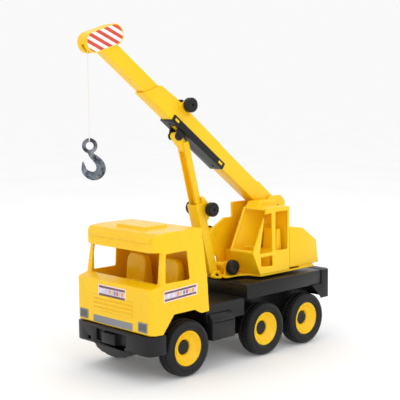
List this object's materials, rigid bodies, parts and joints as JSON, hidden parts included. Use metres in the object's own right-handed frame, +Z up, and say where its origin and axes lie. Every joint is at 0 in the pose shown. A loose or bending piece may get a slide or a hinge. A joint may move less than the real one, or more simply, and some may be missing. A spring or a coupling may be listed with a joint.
{
  "type": "toy crane truck",
  "caption": "Toy crane truck: a forward-control cab on a wheeled chassis with a slewing, luffing and telescoping crane and a hook on a string.",
  "frame": {"origin": "on the ground under the middle of the toy's box, measured without the string and hook", "axes": "+Z up, -Y the way the truck and the resting boom point, +X towards the truck's left side"},
  "size_m": [0.1612, 0.416, 0.4735],
  "materials": {
    "cab_yellow": "glossy moulded yellow plastic",
    "crane_yellow": "satin moulded yellow plastic",
    "wheel_yellow": "glossy moulded yellow plastic",
    "black_plastic": "satin black plastic",
    "tyre_black": "satin black hard plastic tyre",
    "grey_label": "printed grey film",
    "striped_label": "printed film with plain stripes",
    "hook_grey": "metallic grey plastic",
    "string": "pale twisted string",
    "axle_steel": "plain steel"
  },
  "bodies": {
    "truck": {"chassis_frame": "black_plastic", "front_bumper": "black_plastic", "deck": "black_plastic", "tail_panel": "black_plastic", "side_box_left": "black_plastic", "side_box_right": "black_plastic", "cab_shell": "cab_yellow", "cab_seats": "cab_yellow", "dashboard": "cab_yellow", "front_labels": "grey_label", "cab_labels": "striped_label", "turntable_bearing": "black_plastic", "turntable_pin": "black_plastic"},
    "front_axle_set": {"axle_front": "axle_steel", "tyre_front_left": "tyre_black", "tyre_front_right": "tyre_black", "wheel_front_left": "wheel_yellow", "wheel_front_right": "wheel_yellow", "hub_caps_front": "black_plastic"},
    "middle_axle_set": {"axle_middle": "axle_steel", "tyre_middle_left": "tyre_black", "tyre_middle_right": "tyre_black", "wheel_middle_left": "wheel_yellow", "wheel_middle_right": "wheel_yellow", "hub_caps_middle": "black_plastic"},
    "rear_axle_set": {"axle_rear": "axle_steel", "tyre_rear_left": "tyre_black", "tyre_rear_right": "tyre_black", "wheel_rear_left": "wheel_yellow", "wheel_rear_right": "wheel_yellow", "hub_caps_rear": "black_plastic"},
    "turret": {"turret_base": "crane_yellow", "hoist_panel": "crane_yellow", "boom_cheek": "crane_yellow", "operator_cab": "crane_yellow", "operator_seat": "crane_yellow", "control_levers": "crane_yellow", "counterweight": "crane_yellow", "boom_pivot_pin": "black_plastic", "strut_foot_pin": "black_plastic"},
    "boom": {"outer_boom": "crane_yellow", "boom_saddle": "black_plastic", "strut_top_pin": "black_plastic"},
    "extension": {"inner_boom": "crane_yellow", "head_labels": "striped_label"},
    "extension_drive": {"extension_pinion": "black_plastic", "extension_knobs": "black_plastic"},
    "sleeve": {"strut_sleeve": "crane_yellow"},
    "rod": {"strut_rod": "crane_yellow"},
    "luffing_drive": {"luffing_pinion": "black_plastic", "luffing_knobs": "black_plastic"},
    "front_winch": {"front_winch_drum": "crane_yellow", "front_winch_knobs": "black_plastic"},
    "hoist_winch": {"hoist_drum": "crane_yellow", "hoist_knob": "black_plastic"},
    "pulley": {"head_pulley": "black_plastic"},
    "hoist_line": {"hoist_string": "string", "hook": "hook_grey"}
  },
  "joints": [
    {"name": "front_axle_roll", "type": "hinge", "parent": "truck", "child": "front_axle_set", "pos_m": [0, -0.0979, 0.039], "axis": [1, 0, 0], "continuous": true},
    {"name": "middle_axle_roll", "type": "hinge", "parent": "truck", "child": "middle_axle_set", "pos_m": [0, 0.057, 0.039], "axis": [1, 0, 0], "continuous": true},
    {"name": "rear_axle_roll", "type": "hinge", "parent": "truck", "child": "rear_axle_set", "pos_m": [0, 0.1484, 0.039], "axis": [1, 0, 0], "continuous": true},
    {"name": "turret_slew", "type": "hinge", "parent": "truck", "child": "turret", "pos_m": [0, 0.1, 0.112], "axis": [0, 0, 1], "continuous": true},
    {"name": "boom_luff", "type": "hinge", "parent": "turret", "child": "boom", "pos_m": [0, 0.147, 0.2043], "axis": [-1, 0, 0], "range_deg": [-25, 3]},
    {"name": "boom_extend", "type": "slide", "parent": "boom", "child": "extension", "axis": [0, -0.7965, 0.6046], "range_m": [-0.08, 0.02]},
    {"name": "extension_knob_turn", "type": "hinge", "parent": "boom", "child": "extension_drive", "pos_m": [0, -0.03597, 0.36566], "axis": [1, 0, 0], "range_deg": [-160, 600]},
    {"name": "strut_lean", "type": "hinge", "parent": "turret", "child": "sleeve", "pos_m": [0, 0.019, 0.115], "axis": [1, 0, 0], "range_deg": [-4, 24]},
    {"name": "strut_extend", "type": "slide", "parent": "sleeve", "child": "rod", "axis": [0, -0.2538, 0.9673], "range_m": [-0.07, 0.01]},
    {"name": "luffing_knob_turn", "type": "hinge", "parent": "sleeve", "child": "luffing_drive", "pos_m": [0, 0.00446, 0.21457], "axis": [1, 0, 0], "range_deg": [-90, 620]},
    {"name": "front_winch_turn", "type": "hinge", "parent": "turret", "child": "front_winch", "pos_m": [0, 0.036, 0.127], "axis": [1, 0, 0], "continuous": true},
    {"name": "hoist_winch_turn", "type": "hinge", "parent": "turret", "child": "hoist_winch", "pos_m": [0, 0.046, 0.172], "axis": [1, 0, 0], "continuous": true},
    {"name": "pulley_turn", "type": "hinge", "parent": "extension", "child": "pulley", "pos_m": [0, -0.19278, 0.44852], "axis": [1, 0, 0], "range_deg": [-30, 5]},
    {"name": "line_swing", "type": "hinge", "parent": "pulley", "child": "hoist_line", "pos_m": [0, -0.19803, 0.44852], "axis": [1, 0, 0], "range_deg": [-20, 7]}
  ],
  "couplings": [
    {"joint": "extension_knob_turn", "follows": "boom_extend", "rad_per_m": -121.95},
    {"joint": "strut_lean", "follows": "boom_luff", "ratio": -0.835},
    {"joint": "strut_extend", "follows": "boom_luff", "m_per_rad": 0.1545},
    {"joint": "luffing_knob_turn", "follows": "boom_luff", "ratio": -23.111},
    {"joint": "pulley_turn", "follows": "boom_luff", "ratio": 1}
  ]
}
